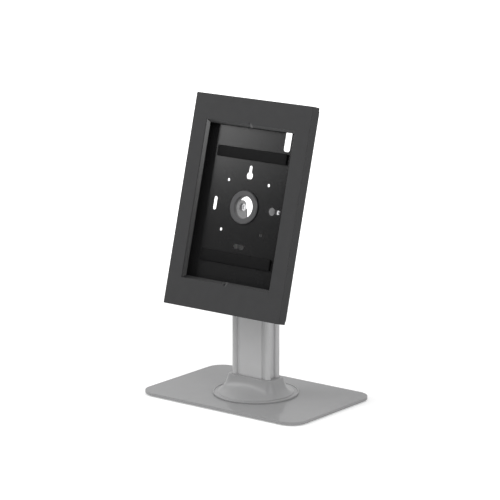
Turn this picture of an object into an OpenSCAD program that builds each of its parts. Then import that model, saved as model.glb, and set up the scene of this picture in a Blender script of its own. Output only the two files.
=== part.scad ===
// Lockable tablet enclosure on a desk stand.
// A folded steel enclosure with an open window turns on a hub and tilts on a four lobed column,
// which stands in a flared collar on a base plate.
// Millimetres, Z up. The window faces -Y and the origin is on the floor under the column.

/* [Enclosure cover] */
// Width of the cover
cover_w = 218.5; // [210:0.5:240]
// Height of the cover
cover_h = 322; // [312:1:350]
// Depth of the cover's side walls
cover_d = 16; // [15:0.5:22]
// Thickness of the cover's sheet
sheet_t = 1.5; // [1:0.1:2.5]
// Radius of the cover's upright corners
cover_corner_r = 1.5; // [0.5:0.1:6]
// Width of the cover's border on each side of the window
side_border = 26.5; // [24:0.5:45]
// Height of the cover's border above the window
upper_border = 38.65; // [36:0.05:60]
// Height of the cover's border below the window
lower_border = 42.85; // [36:0.05:60]
// Radius of the half round notches in the window's upper and lower edge
notch_r = 2.5; // [1:0.1:4]

/* [Window trim] */
// Width of the trim's land behind the sheet, on each side of the window
trim_land = 8; // [6:0.5:10]
// Depth of the trim behind the sheet
trim_d = 5.6; // [3:0.1:7]
// How far the trim's bevel narrows the window on each side
trim_inset = 4.1; // [1:0.1:6]
// Depth of the trim's bevel
trim_bevel_d = 4.2; // [1:0.1:5]

/* [Rear tray] */
// Thickness of the tray's plate
tray_t = 2; // [1.5:0.1:3]
// Thickness of the tray's side walls
tray_wall = 2; // [1:0.1:3]
// Depth at which the tray's side walls begin
tray_wall_front = 4; // [2:0.5:8]
// Gap between the cover's rim and the tray's plate
back_gap = 2.4; // [2:0.1:5]
// Radius of the tray's corners
tray_corner_r = 5; // [2.5:0.5:10]
// Gap between the cover and the tray, all round
cover_gap = 0.8; // [0.5:0.1:1.2]
// Spacing of the square pattern of screw holes
vesa_pitch = 75; // [75:1:100]
// Diameter of those screw holes
vesa_hole_d = 5; // [4:0.1:6]
// Diameter of the keyholes' round end
keyhole_d = 12; // [9:0.5:13]
// Width of the keyholes' slot
keyhole_slot = 6; // [4:0.5:8]
// Distance from a keyhole's round end to its seat
keyhole_run = 12.5; // [8:0.5:16]
// Distance of the upper keyhole's seat from the centre
upper_seat = 60; // [58:0.5:66]
// Distance of the right keyhole's seat from the centre
right_seat = 63.5; // [60:0.5:70]
// Distance of the left and lower slot from the seat that each one faces
seat_to_slot = 119.5; // [116:0.5:124]
// Length of the left and lower slot
slot_l = 20.5; // [14:0.5:24]
// Width of the left and lower slot
slot_w = 6.7; // [4.5:0.1:8]
// Distance of the camera slot's middle from the centre, to the right
camera_slot_x = 59.8; // [50:0.1:66]
// Lower end of the camera slot, above the centre
camera_slot_low = 90.5; // [88:0.5:96]
// Length of the camera slot
camera_slot_l = 35.5; // [16:0.5:36]
// Width of the camera slot
camera_slot_w = 12; // [8:0.5:16]

/* [Foam] */
// Width of the tablet that the enclosure takes
tablet_w = 174; // [160:1:180]
// Height of the tablet that the enclosure takes
tablet_h = 250.5; // [230:0.5:256]
// Gap between the tablet's edge and the foam blocks
tablet_gap = 1.4; // [0.5:0.1:3]
// Thickness of the foam blocks, from the tray's plate forwards
edge_pad_t = 10; // [6:0.5:10]
// Length of the foam blocks along the tablet's edge
edge_pad_l = 40; // [20:1:44]
// Distance of the foam blocks at the long edges from the window's centre
edge_pad_rise = 75; // [40:1:80]
// Distance of the foam blocks at the short edges from the middle
edge_pad_side = 50; // [45:1:60]
// Length of the foam strips on the plate
strip_l = 130; // [80:1:150]
// Width of the foam strips on the plate
strip_w = 16.5; // [10:0.5:18]
// Thickness of the foam strips on the plate
strip_t = 3.5; // [2:0.1:4]
// Distance of the foam strips from the enclosure's centre
strip_rise = 79; // [77:0.5:86]

/* [Cover hinge] */
// Distance of each hinge from the middle
hinge_x = 60; // [30:1:85]
// Diameter of the hinge pins
hinge_pin_d = 3; // [2:0.1:3.5]
// Radius of the hinge knuckles
knuckle_r = 2.8; // [2.4:0.1:3]
// Height of the knuckles' lowest line above the cover's lower face
knuckle_rise = 0.3; // [0.2:0.05:0.6]
// Length of the cover's knuckle
knuckle_l = 12; // [8:1:20]
// Length of each of the tray's knuckles
tray_knuckle_l = 8; // [5:1:12]
// Gap beside and around the knuckles
knuckle_gap = 0.4; // [0.3:0.05:0.5]

/* [Lock] */
// Distance of the lock's axis below the cover's upper edge
lock_inset = 21; // [19:0.5:22]
// Diameter of the lock's barrel
barrel_d = 16; // [14:0.5:17]
// Diameter of the barrel's flange on the back
barrel_flange_d = 19; // [18:0.5:26]
// Thickness of the barrel's flange
barrel_flange_t = 2; // [1:0.1:3]
// Width of the barrel's nut across its flats
lock_nut_w = 20; // [19:0.5:21]
// Thickness of the barrel's nut
lock_nut_t = 3; // [2:0.5:4]
// Diameter of the plug that turns in the barrel
plug_d = 11; // [9:0.5:12]
// Depth at which the cam begins
cam_front = 5.5; // [5:0.1:6]
// Thickness of the cam
cam_t = 2; // [1:0.1:2.5]
// Width of the cam
cam_w = 10; // [7:0.5:12]
// Reach of the cam from the plug's axis
cam_reach = 17; // [13:0.5:17]
// Diameter of the cam's screw
cam_screw_d = 5; // [4:0.5:6]
// Diameter of the cam screw's head
cam_head_d = 8.5; // [7:0.5:10]
// Thickness of the cam screw's head
cam_head_t = 2; // [1:0.1:2.5]
// Length of the cam's screw under its head
cam_screw_l = 11; // [6:0.5:12]
// Width of the cover's catch
catch_w = 24; // [18:1:30]
// Thickness of the cover's catch
catch_t = 1.5; // [1:0.1:2]
// Gap between the cam and the catch, and between the barrel and both
catch_gap = 0.5; // [0.4:0.1:1]
// Width of the keyway
keyway_w = 1.6; // [1:0.1:2]
// Height of the keyway
keyway_h = 7; // [4:0.5:8]
// Depth of the keyway
keyway_d = 4; // [2:0.5:8]

/* [Hub] */
// Diameter of the hub's flange, seen through the window
hub_flange_d = 50.5; // [48:0.5:54]
// Thickness of the hub's flange
hub_flange_t = 2.5; // [2:0.1:4]
// Chamfer of the hub's flange
hub_chamfer = 1; // [0.2:0.1:1.5]
// Outer diameter of the hub's sleeve
hub_sleeve_d = 44; // [43:0.5:46]
// Diameter of the cable bore through the hub
hub_bore = 34; // [20:0.5:34]
// Thickness of the friction washer in front of the plate
front_washer_t = 0.5; // [0.3:0.1:1]
// Thickness of the friction washer behind the plate
rear_washer_t = 1; // [0.5:0.1:2]
// Outer diameter of the friction washer behind the plate
rear_washer_d = 60; // [52:1:72]
// Number of screws that hold the hub
hub_screw_n = 4; // [3:1:6]
// Diameter of those screws
hub_screw_d = 3; // [2.5:0.5:3]
// Diameter of the head of those screws
hub_screw_head_d = 5.6; // [5:0.1:6]
// Length of those screws
hub_screw_l = 7; // [6:0.5:7.5]

/* [Swivel head] */
// Diameter of the swivel disc
disc_d = 86; // [86:1:96]
// Thickness of the swivel disc
disc_t = 4; // [3.5:0.5:6]
// Distance from the enclosure's front face to the tilt axis
head_reach = 47.5; // [46:0.5:60]
// Thickness of the head's cheeks
cheek_t = 4; // [3:0.5:4]
// Radius of the cheeks' round ends
cheek_r = 11; // [10:0.5:12]
// Lean of the enclosure, as shown
lean = 15; // [0:1:75]
// Turn from portrait to landscape
turn_angle = 90; // [60:5:90]
// Diameter of the stud that stops the turn
stud_d = 4; // [3:0.5:5]
// Distance of the stud from the hub's axis
stud_r = 39.5; // [38.5:0.5:40]
// Gap around the stud at the ends of the turn
stud_gap = 0.3; // [0.2:0.1:0.5]

/* [Tilt pivot] */
// Height of the tilt axis above the floor
pivot_z = 291; // [250:1:340]
// Diameter of the pivot bolts
pivot_d = 6; // [5:0.5:8]
// Diameter of the bolts' heads
pivot_head_d = 11; // [10:0.5:14]
// Thickness of the bolts' heads
pivot_head_t = 3.5; // [2.5:0.1:5]
// Width of the hexagonal socket in the heads
pivot_socket_w = 4; // [3:0.5:5]
// Width of the nuts across their flats
pivot_nut_w = 10; // [10:0.5:14]
// Thickness of the nuts
pivot_nut_t = 3; // [2:0.5:5]
// How far the bolts stand out of their nuts
pivot_stub = 1; // [0.5:0.1:2]
// Outer diameter of the bushes in the rails
bush_d = 10; // [9:0.5:12]
// Diameter of the bushes' flange and of the friction washers
bush_flange_d = 17; // [14:0.5:20]
// Thickness of the tilt's friction washers
pivot_washer_t = 0.5; // [0.3:0.1:1]

/* [Column] */
// Width of the column over its lobes
column_w = 71.2; // [68:0.1:76]
// Depth of the column over its lobes
column_d = 30.8; // [30:0.1:36]
// Radius of the lobes
lobe_r = 4.9; // [4.8:0.1:5.5]
// Thickness of a rail's web
rail_web = 4.2; // [4:0.1:5]
// How far the web lies inside the lobes
web_recess = 5.6; // [4.5:0.1:6]
// Radius of the ears that carry the tilt pivot
ear_r = 10.5; // [10:0.5:12]
// Height of the ears' centre above the rails' shoulder
ear_rise = 5.5; // [3:0.5:10]
// Width of the flat part of the duct's panels
panel_flat_w = 42.4; // [30:0.2:44]
// Distance between the outer faces of the two panels
panel_span = 26.4; // [24:0.2:27]
// Thickness of the panels
panel_t = 2; // [1.5:0.1:2.5]
// How far the panels' edges lie inside their flat part
panel_step = 1.2; // [1:0.1:2]
// Depth of the rails' slots that hold the panels
panel_slot_d = 1.2; // [0.8:0.1:1.4]
// Height of the gap under the rear panel for a cable
cable_gap = 10; // [6:1:16]
// Distance from the bridge's top to the tilt axis
bridge_drop = 23; // [22:0.5:30]
// Height of the bridge that ties the rails
bridge_h = 7; // [6.5:0.5:10]
// Width of the bridge's cable slot
cable_slot_w = 24; // [14:1:26]
// Depth of the bridge's cable slot
cable_slot_d = 8; // [5:0.5:10]
// Diameter of the bridge's screws
bridge_screw_d = 4; // [3:0.5:4]
// Diameter of the heads of the bridge's screws
bridge_head_d = 6.6; // [6:0.1:7]
// Thickness of the heads of the bridge's screws
bridge_head_t = 2.4; // [2:0.1:3]
// Length of the bridge's screws under the head
bridge_screw_l = 16; // [12:0.5:18]

/* [Collar] */
// Diameter of the collar's rim
rim_d = 130.5; // [120:0.5:150]
// Thickness of the collar's flange
rim_t = 1.8; // [1.2:0.1:2]
// Height of the lip along the rim
lip_h = 2.8; // [2.4:0.1:4]
// Radius of the lip's rounded top
lip_r = 0.9; // [0.5:0.1:1.2]
// Diameter of the flare's foot
flare_d = 116; // [110:0.5:122]
// Height of the flare's edge over the flange
foot_edge = 1.2; // [1:0.1:2.4]
// Height of the collar
collar_h = 27.8; // [22:0.2:40]
// Width of the collar's neck
neck_w = 84; // [82:0.5:90]
// Depth of the collar's neck
neck_d = 37.5; // [37:0.5:44]
// Radius of the neck's corners
neck_corner_r = 8; // [4:0.5:10]
// How far the neck's walls lean outwards down to their foot
neck_draft = 7; // [2:0.5:8]
// How quickly the flare narrows, as a power
flare_power = 4.5; // [3:0.1:6]
// Wall of the collar
collar_wall = 2.2; // [1.5:0.1:2.5]
// Gap between the collar and the column
collar_gap = 0.4; // [0.3:0.1:0.8]
// Width of the cable outlet in the back of the collar
outlet_w = 12; // [8:1:20]
// Height of the cable outlet
outlet_h = 6; // [5:0.5:10]

/* [Base] */
// Width of the base plate
base_w = 300; // [240:1:400]
// Depth of the base plate
base_d = 200; // [160:1:300]
// Thickness of the base plate
base_t = 4.2; // [3.5:0.1:8]
// Radius of the base plate's corners
base_corner_r = 27; // [12:1:60]
// Diameter of the rubber feet
foot_d = 22; // [14:1:30]
// Thickness of the rubber feet
foot_t = 2; // [1.5:0.1:6]
// Distance of the feet's centres from the base plate's sides
foot_inset = 24; // [18:1:40]
// Diameter of the screws that hold the column
base_screw_d = 5; // [4:0.5:5]
// Diameter of the countersunk heads of those screws
base_head_d = 9.4; // [8:0.1:10]
// Height of those heads
base_head_h = 2.6; // [2:0.1:3]
// Length of those screws, head included
base_screw_l = 25; // [16:1:40]

/* [Fits] */
// Clearance of a turning pin or face
running = 0.05; // [0.02:0.01:0.1]
// Clearance around a screw or a pressed piece
snug = 0.05; // [0.02:0.01:0.1]
// Clearance of a loose hole or of a sliding panel
loose = 0.15; // [0.1:0.01:0.25]

/* [Hidden] */
$fn = 64;
// How far a cut runs past the face that it opens
over = 1;
// Colours of the finishes
dark_paint = [0.27, 0.27, 0.28];
pale_paint = [0.66, 0.66, 0.67];
steel = [0.78, 0.78, 0.80];
rubber = [0.12, 0.12, 0.12];
foam = [0.08, 0.08, 0.09];
nylon = [0.85, 0.85, 0.82];

// Window, with the height of its centre above the cover's centre
window_w = cover_w - 2 * side_border;
window_h = cover_h - upper_border - lower_border;
window_rise = (lower_border - upper_border) / 2;

// Depths in the enclosure, counted back from its front face
plate_front = cover_d + back_gap;
plate_back = plate_front + tray_t;
tray_w = cover_w - 2 * (sheet_t + cover_gap);
tray_h = cover_h - 2 * (sheet_t + cover_gap);
trim_back = sheet_t + trim_d;

// Hinge axis at the enclosure's lower rear edge
hinge_depth = (plate_front + plate_back) / 2;
hinge_z = knuckle_r + knuckle_rise - cover_h / 2;
hinge_l = knuckle_l + 2 * knuckle_gap + 2 * tray_knuckle_l;

// Lock, from its rear flange to the cam
lock_rise = cover_h / 2 - lock_inset;
cam_back = cam_front + cam_t;
catch_front = cam_back + catch_gap;
barrel_front = catch_front + 2 * catch_gap;
barrel_back = plate_back + barrel_flange_t;
catch_low = lock_rise + barrel_d / 2 + 2 * catch_gap;

// Hub and swivel disc
hub_washer_back = plate_front - running;
hub_flange_back = hub_washer_back - front_washer_t;
hub_hole_d = hub_sleeve_d + 2 * loose;
rear_washer_front = plate_back + running;
disc_front = rear_washer_front + rear_washer_t;
disc_back = disc_front + disc_t;
hub_screw_pcd = (hub_sleeve_d + hub_bore) / 2;
stud_l = disc_back - plate_back - stud_gap;
stud_half_angle = asin((stud_d / 2 + stud_gap) / stud_r);

// Column and tilt pivot, from the middle outwards
column_half = column_w / 2;
lobe_x = column_half - lobe_r;
lobe_y = column_d / 2 - lobe_r;
web_out = column_half - web_recess;
rail_in = web_out - rail_web;
cheek_in = column_half + pivot_washer_t + running;
cheek_out = cheek_in + cheek_t;
bolt_head_in = cheek_out + running;
bolt_end = rail_in - pivot_nut_t - pivot_stub;
shoulder_z = pivot_z - ear_rise;
base_top = foot_t + base_t;
bridge_top = pivot_z - bridge_drop;
bridge_low = bridge_top - bridge_h;
panel_edge_y = panel_span / 2 - panel_step - panel_t / 2;
panel_edge_x = rail_in + panel_slot_d - 2 * loose;

// Collar
collar_top = base_top + collar_h;
flare_low = base_top + rim_t + foot_edge;
collar_steps = 80;
collar_levels = 10;
flare_spacing = 1.6;

// Places a child, drawn in the enclosure's own frame (x right, y back from the front face,
// z up from the cover's centre), on the leaning head
module on_head() {
    translate([0, 0, pivot_z])
        rotate([-lean, 0, 0])
            translate([0, -head_reach, 0])
                children();
}

// Extrudes a 2D child, drawn right and up, back from a depth
module plate_at(depth, t) {
    translate([0, depth + t, 0])
        rotate([90, 0, 0])
            linear_extrude(t)
                children();
}

// Cylinder that runs back from a depth
module rod_back(depth, length, d) {
    translate([0, depth + length, 0])
        rotate([90, 0, 0])
            cylinder(h = length, d = d);
}

// Cylinder along X, starting at x
module rod_right(x, length, d) {
    translate([x, 0, 0])
        rotate([0, 90, 0])
            cylinder(h = length, d = d);
}

module rounded_rect(w, h, r) {
    square([w - 2 * r, h], center = true);
    square([w, h - 2 * r], center = true);
    for (x = [-1, 1], y = [-1, 1])
        translate([x * (w / 2 - r), y * (h / 2 - r)])
            circle(r = r);
}

// Slot with round ends, along the 2D x axis
module round_slot(length, w) {
    square([length - w, w], center = true);
    for (x = [-1, 1])
        translate([x * (length - w) / 2, 0])
            circle(d = w);
}

module at_hinges() {
    for (side = [-1, 1])
        translate([side * hinge_x, hinge_depth, hinge_z])
            children();
}

module at_lock() {
    translate([0, 0, lock_rise])
        children();
}

// Cover: folded sheet with the window, its catch and its knuckles
module window_2d(margin) {
    translate([0, window_rise])
        square([window_w + 2 * margin, window_h + 2 * margin], center = true);
}

module window_notches_2d(r) {
    for (side = [-1, 1])
        translate([0, window_rise + side * window_h / 2])
            circle(r = r);
}

module cover_sheet() {
    difference() {
        plate_at(0, cover_d)
            rounded_rect(cover_w, cover_h, cover_corner_r);
        plate_at(sheet_t, cover_d)
            square([cover_w - 2 * sheet_t, cover_h - 2 * sheet_t], center = true);
        plate_at(-over, sheet_t + 2 * over) {
            window_2d(0);
            window_notches_2d(notch_r);
        }
    }
}

module cover_catch() {
    translate([-catch_w / 2, catch_front, catch_low])
        cube([catch_w, catch_t, cover_h / 2 - sheet_t / 2 - catch_low]);
}

// The knuckle, with the strap that carries it from the cover's lower wall
module cover_knuckle() {
    strap_l = hinge_depth - cover_d + sheet_t;
    rod_right(-knuckle_l / 2, knuckle_l, 2 * knuckle_r);
    translate([-knuckle_l / 2, -strap_l, -knuckle_r])
        cube([knuckle_l, strap_l, sheet_t - knuckle_rise]);
}

module front_cover() {
    color(dark_paint)
        on_head()
            difference() {
                union() {
                    cover_sheet();
                    cover_catch();
                    at_hinges()
                        cover_knuckle();
                }
                at_hinges()
                    rod_right(-hinge_l / 2, hinge_l, hinge_pin_d + 2 * running);
            }
}

// Trim: ring whose bevel narrows the window behind the sheet
module trim_bevel() {
    hull() {
        plate_at(sheet_t - over, over)
            window_2d(0);
        plate_at(sheet_t + trim_bevel_d, trim_d)
            window_2d(-trim_inset);
    }
}

module window_trim() {
    color(dark_paint)
        on_head()
            difference() {
                plate_at(sheet_t, trim_d)
                    window_2d(trim_land);
                trim_bevel();
                plate_at(sheet_t - over, trim_d + 2 * over)
                    window_notches_2d(notch_r);
            }
}

// Tray: plate with its walls, holes and the tray's half of the hinges
module keyhole_2d() {
    circle(d = keyhole_d);
    translate([0, -keyhole_slot / 2])
        square([keyhole_run, keyhole_slot]);
    translate([keyhole_run, 0])
        circle(d = keyhole_slot);
}

module tray_holes_2d() {
    for (x = [-1, 1], y = [-1, 1])
        translate([x * vesa_pitch / 2, y * vesa_pitch / 2])
            circle(d = vesa_hole_d);
    circle(d = hub_hole_d);
    translate([0, upper_seat - keyhole_run])
        rotate(90)
            keyhole_2d();
    translate([right_seat - keyhole_run, 0])
        keyhole_2d();
    translate([right_seat - seat_to_slot, 0])
        rotate(90)
            round_slot(slot_l, slot_w);
    translate([0, upper_seat - seat_to_slot])
        round_slot(slot_l, slot_w);
    translate([camera_slot_x, camera_slot_low + camera_slot_l / 2])
        rounded_rect(camera_slot_w, camera_slot_l, camera_slot_w / 3);
    translate([0, lock_rise])
        circle(d = barrel_d + 2 * snug);
}

// Room for the catch in the upper wall, and for the cover's knuckles at the lower edge
module tray_reliefs() {
    catch_room = catch_w + 8 * catch_gap;
    translate([-catch_room / 2, tray_wall_front - over, tray_h / 2 - tray_wall - over])
        cube([catch_room, catch_front + catch_t + 4 * catch_gap - tray_wall_front + over, tray_wall + 2 * over]);
    at_hinges()
        translate([-knuckle_l / 2 - knuckle_gap, -knuckle_r - knuckle_gap, -knuckle_r - over])
            cube([knuckle_l + 2 * knuckle_gap, 2 * knuckle_r + knuckle_gap + over, 2 * knuckle_r + knuckle_gap + over]);
}

module tray_knuckles() {
    at_hinges()
        for (side = [-1, 1])
            rod_right(side * (knuckle_l + tray_knuckle_l + 2 * knuckle_gap) / 2 - tray_knuckle_l / 2,
                tray_knuckle_l, 2 * knuckle_r);
}

module rear_tray() {
    color(dark_paint)
        on_head()
            difference() {
                union() {
                    difference() {
                        plate_at(tray_wall_front, plate_back - tray_wall_front)
                            rounded_rect(tray_w, tray_h, tray_corner_r);
                        plate_at(tray_wall_front - over, plate_front - tray_wall_front + over)
                            rounded_rect(tray_w - 2 * tray_wall, tray_h - 2 * tray_wall,
                                max(tray_corner_r - tray_wall, over / 2));
                        plate_at(plate_front - over, tray_t + 2 * over)
                            tray_holes_2d();
                    }
                    tray_knuckles();
                }
                tray_reliefs();
                at_hinges()
                    rod_right(-hinge_l / 2 - over, hinge_l + 2 * over, hinge_pin_d + 2 * snug);
            }
}

module hinge_pins() {
    color(steel)
        on_head()
            at_hinges()
                rod_right(-hinge_l / 2, hinge_l, hinge_pin_d);
}

// Foam strips behind the tablet, and foam blocks around its edges
module back_pads() {
    color(foam)
        on_head()
            for (side = [-1, 1])
                plate_at(plate_front - strip_t, strip_t)
                    translate([0, side * strip_rise])
                        square([strip_l, strip_w], center = true);
}

module edge_pads() {
    side_in = tablet_w / 2 + tablet_gap;
    side_out = tray_w / 2 - tray_wall;
    end_in = tablet_h / 2 + tablet_gap;
    end_top = tray_h / 2 - tray_wall;
    end_low = hinge_z + knuckle_r + knuckle_gap;
    color(foam)
        on_head()
            plate_at(plate_front - edge_pad_t, edge_pad_t)
                for (x = [-1, 1]) {
                    for (y = [-1, 1])
                        translate([x * (side_in + side_out) / 2, window_rise + y * edge_pad_rise])
                            square([side_out - side_in, edge_pad_l], center = true);
                    translate([x * edge_pad_side - edge_pad_l / 2, window_rise + end_in])
                        square([edge_pad_l, end_top - end_in - window_rise]);
                    translate([x * edge_pad_side - edge_pad_l / 2, end_low])
                        square([edge_pad_l, window_rise - end_in - end_low]);
                }
}

// Lock
module lock_barrel() {
    color(steel)
        on_head()
            at_lock()
                difference() {
                    union() {
                        rod_back(barrel_front, plate_back - barrel_front, barrel_d);
                        rod_back(plate_back, barrel_flange_t, barrel_flange_d);
                    }
                    rod_back(barrel_front - over, barrel_back - barrel_front + 2 * over, plug_d + 2 * running);
                }
}

module lock_nut() {
    color(steel)
        on_head()
            at_lock()
                plate_at(plate_front - lock_nut_t, lock_nut_t)
                    difference() {
                        circle(d = lock_nut_w / cos(30), $fn = 6);
                        circle(d = barrel_d + 2 * snug);
                    }
}

module lock_plug() {
    color(steel)
        on_head()
            at_lock()
                difference() {
                    rod_back(cam_back, barrel_back - cam_back, plug_d);
                    translate([-keyway_w / 2, barrel_back - keyway_d, -keyway_h / 2])
                        cube([keyway_w, keyway_d + over, keyway_h]);
                    rod_back(cam_back - over, cam_screw_l - cam_t + over, cam_screw_d + 2 * snug);
                }
}

module lock_cam() {
    color(steel)
        on_head()
            at_lock()
                plate_at(cam_front, cam_t)
                    difference() {
                        translate([(cam_reach - cam_w / 2) / 2, 0])
                            round_slot(cam_reach + cam_w / 2, cam_w);
                        circle(d = cam_screw_d + 2 * snug);
                    }
}

module cam_screw() {
    color(steel)
        on_head()
            at_lock() {
                rod_back(cam_front - cam_head_t, cam_head_t, cam_head_d);
                rod_back(cam_front - cam_head_t, cam_head_t + cam_screw_l - snug, cam_screw_d);
            }
}

// Hub: flange in front of the plate, sleeve through it
module at_hub_screws() {
    for (k = [0 : hub_screw_n - 1])
        rotate([0, 45 + k * 360 / hub_screw_n, 0])
            translate([hub_screw_pcd / 2, 0, 0])
                children();
}

module hub_ring() {
    flange_front = hub_flange_back - hub_flange_t;
    color(pale_paint)
        on_head()
            difference() {
                translate([0, disc_front, 0])
                    rotate([90, 0, 0])
                        rotate_extrude()
                            polygon([
                                [hub_bore / 2, 0],
                                [hub_sleeve_d / 2, 0],
                                [hub_sleeve_d / 2, disc_front - hub_flange_back],
                                [hub_flange_d / 2, disc_front - hub_flange_back],
                                [hub_flange_d / 2, disc_front - flange_front - hub_chamfer],
                                [hub_flange_d / 2 - hub_chamfer, disc_front - flange_front],
                                [hub_bore / 2, disc_front - flange_front]]);
                at_hub_screws()
                    rod_back(disc_back - hub_screw_l - snug, hub_screw_l, hub_screw_d + 2 * snug);
            }
}

module hub_washers() {
    color(nylon)
        on_head() {
            plate_at(hub_flange_back, front_washer_t)
                difference() {
                    circle(d = hub_flange_d - 2 * hub_chamfer);
                    circle(d = hub_sleeve_d + 2 * snug);
                }
            plate_at(rear_washer_front, rear_washer_t)
                difference() {
                    circle(d = rear_washer_d);
                    circle(d = hub_sleeve_d + 2 * snug);
                }
        }
}

module hub_screws() {
    head_h = (hub_screw_head_d - hub_screw_d) / 2;
    color(steel)
        on_head()
            at_hub_screws()
                translate([0, disc_back, 0])
                    rotate([90, 0, 0]) {
                        cylinder(h = head_h, d1 = hub_screw_head_d, d2 = hub_screw_d);
                        cylinder(h = hub_screw_l, d = hub_screw_d);
                    }
}

// Swivel head: disc behind the plate and two cheeks that reach back to the tilt axis
module stud_path() {
    notch_in = stud_r - stud_d / 2 - stud_gap;
    sweep = turn_angle + 2 * stud_half_angle;
    translate([0, disc_back + over, 0])
        rotate([90, 0, 0])
            rotate([0, 0, -90 - sweep / 2])
                rotate_extrude(angle = sweep)
                    translate([notch_in, 0])
                        square([disc_d / 2 - notch_in + over, disc_t + 2 * over]);
}

module swivel_head() {
    head_h = (hub_screw_head_d - hub_screw_d) / 2;
    color(pale_paint)
        on_head()
            difference() {
                union() {
                    rod_back(disc_front, disc_t, disc_d);
                    for (x = [-cheek_out, cheek_in]) {
                        translate([x, disc_front, -cheek_r])
                            cube([cheek_t, head_reach - disc_front, 2 * cheek_r]);
                        translate([0, head_reach, 0])
                            rod_right(x, cheek_t, 2 * cheek_r);
                    }
                }
                rod_back(disc_front - over, disc_t + 2 * over, hub_bore);
                stud_path();
                at_hub_screws() {
                    rod_back(disc_front - over, disc_t + 2 * over, hub_screw_d + 2 * loose);
                    translate([0, disc_back, 0])
                        rotate([90, 0, 0])
                            cylinder(h = head_h + loose, d1 = hub_screw_head_d + 2 * loose, d2 = hub_screw_d);
                }
                translate([0, head_reach, 0])
                    rod_right(-cheek_out - over, 2 * (cheek_out + over), pivot_d + 2 * running);
            }
}

module stop_stud() {
    color(steel)
        on_head()
            rotate([0, 90 + turn_angle / 2, 0])
                translate([stud_r, 0, 0])
                    rod_back(plate_back, stud_l, stud_d);
}

// Tilt pivot, the same on both sides
module on_pivot() {
    translate([0, 0, pivot_z])
        children();
}

module both_sides() {
    children();
    mirror([1, 0, 0])
        children();
}

module pivot_bolts() {
    color(steel)
        on_pivot()
            both_sides()
                difference() {
                    union() {
                        rod_right(bolt_head_in, pivot_head_t, pivot_head_d);
                        rod_right(bolt_end, bolt_head_in - bolt_end + pivot_head_t / 2, pivot_d);
                    }
                    translate([bolt_head_in + pivot_head_t / 2, 0, 0])
                        rotate([0, 90, 0])
                            cylinder(h = pivot_head_t, d = pivot_socket_w / cos(30), $fn = 6);
                }
}

module pivot_nuts() {
    color(steel)
        on_pivot()
            both_sides()
                translate([rail_in - pivot_nut_t, 0, 0])
                    rotate([0, 90, 0])
                        difference() {
                            cylinder(h = pivot_nut_t, d = pivot_nut_w / cos(30), $fn = 6);
                            translate([0, 0, -over])
                                cylinder(h = pivot_nut_t + 2 * over, d = pivot_d + 2 * snug);
                        }
}

module pivot_washers() {
    color(nylon)
        on_pivot()
            both_sides()
                difference() {
                    rod_right(column_half, pivot_washer_t, bush_flange_d);
                    rod_right(column_half - over, pivot_washer_t + 2 * over, pivot_d + 2 * snug);
                }
}

module pivot_bushes() {
    color(steel)
        on_pivot()
            both_sides()
                difference() {
                    union() {
                        rod_right(rail_in, rail_web, bush_d);
                        rod_right(web_out, web_recess, bush_flange_d);
                    }
                    rod_right(rail_in - over, rail_web + web_recess + 2 * over, pivot_d + 2 * snug);
                }
}

// Column: two lobed rails with the duct's panels between them
module rail_section() {
    difference() {
        union() {
            for (y = [-lobe_y, lobe_y])
                translate([lobe_x, y])
                    circle(r = lobe_r);
            translate([rail_in, -lobe_y])
                square([rail_web, 2 * lobe_y]);
        }
        for (y = [-lobe_y, lobe_y])
            translate([lobe_x, y])
                circle(d = base_screw_d + 2 * snug);
        for (y = [-panel_edge_y, panel_edge_y])
            translate([rail_in + (panel_slot_d - over) / 2, y])
                square([panel_slot_d + over, panel_t + 2 * loose], center = true);
    }
}

module right_rail_shape() {
    difference() {
        intersection() {
            translate([0, 0, base_top])
                linear_extrude(pivot_z + ear_r - base_top)
                    rail_section();
            union() {
                translate([0, -column_d, 0])
                    cube([column_w, 2 * column_d, shoulder_z]);
                on_pivot()
                    rod_right(0, column_w, 2 * ear_r);
            }
        }
        on_pivot() {
            rod_right(0, column_w, bush_d + 2 * snug);
            rod_right(web_out, column_w, bush_flange_d + 2 * snug);
        }
        translate([0, 0, bridge_low + bridge_h / 2])
            rod_right(0, column_w, bridge_screw_d + 2 * loose);
    }
}

module right_rail() {
    color(pale_paint)
        right_rail_shape();
}

module left_rail() {
    color(pale_paint)
        mirror([1, 0, 0])
            right_rail_shape();
}

module front_panel_section() {
    translate([-panel_flat_w / 2, -panel_span / 2])
        square([panel_flat_w, panel_t]);
    for (side = [-1, 1]) {
        translate([side * (panel_flat_w - panel_t) / 2 - panel_t / 2, -panel_span / 2])
            square([panel_t, panel_step + panel_t]);
        translate([min(side * panel_edge_x, side * (panel_flat_w / 2 - panel_t)), -panel_edge_y - panel_t / 2])
            square([panel_edge_x - panel_flat_w / 2 + panel_t, panel_t]);
    }
}

module front_panel() {
    color(pale_paint)
        translate([0, 0, base_top])
            linear_extrude(bridge_low - base_top)
                front_panel_section();
}

module rear_panel() {
    color(pale_paint)
        translate([0, 0, base_top + cable_gap])
            linear_extrude(bridge_low - base_top - cable_gap)
                mirror([0, 1])
                    front_panel_section();
}

module top_bridge() {
    color(pale_paint)
        difference() {
            translate([0, 0, bridge_low])
                linear_extrude(bridge_h)
                    difference() {
                        square([2 * (rail_in - snug), panel_span], center = true);
                        square([cable_slot_w, cable_slot_d], center = true);
                    }
            translate([0, 0, bridge_low + bridge_h / 2])
                both_sides()
                    rod_right(cable_slot_w / 2 + over, rail_in, bridge_screw_d + 2 * snug);
        }
}

module bridge_screws() {
    color(steel)
        translate([0, 0, bridge_low + bridge_h / 2])
            both_sides() {
                rod_right(web_out, bridge_head_t, bridge_head_d);
                rod_right(web_out - bridge_screw_l, bridge_screw_l + bridge_head_t / 2, bridge_screw_d);
            }
}

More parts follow.
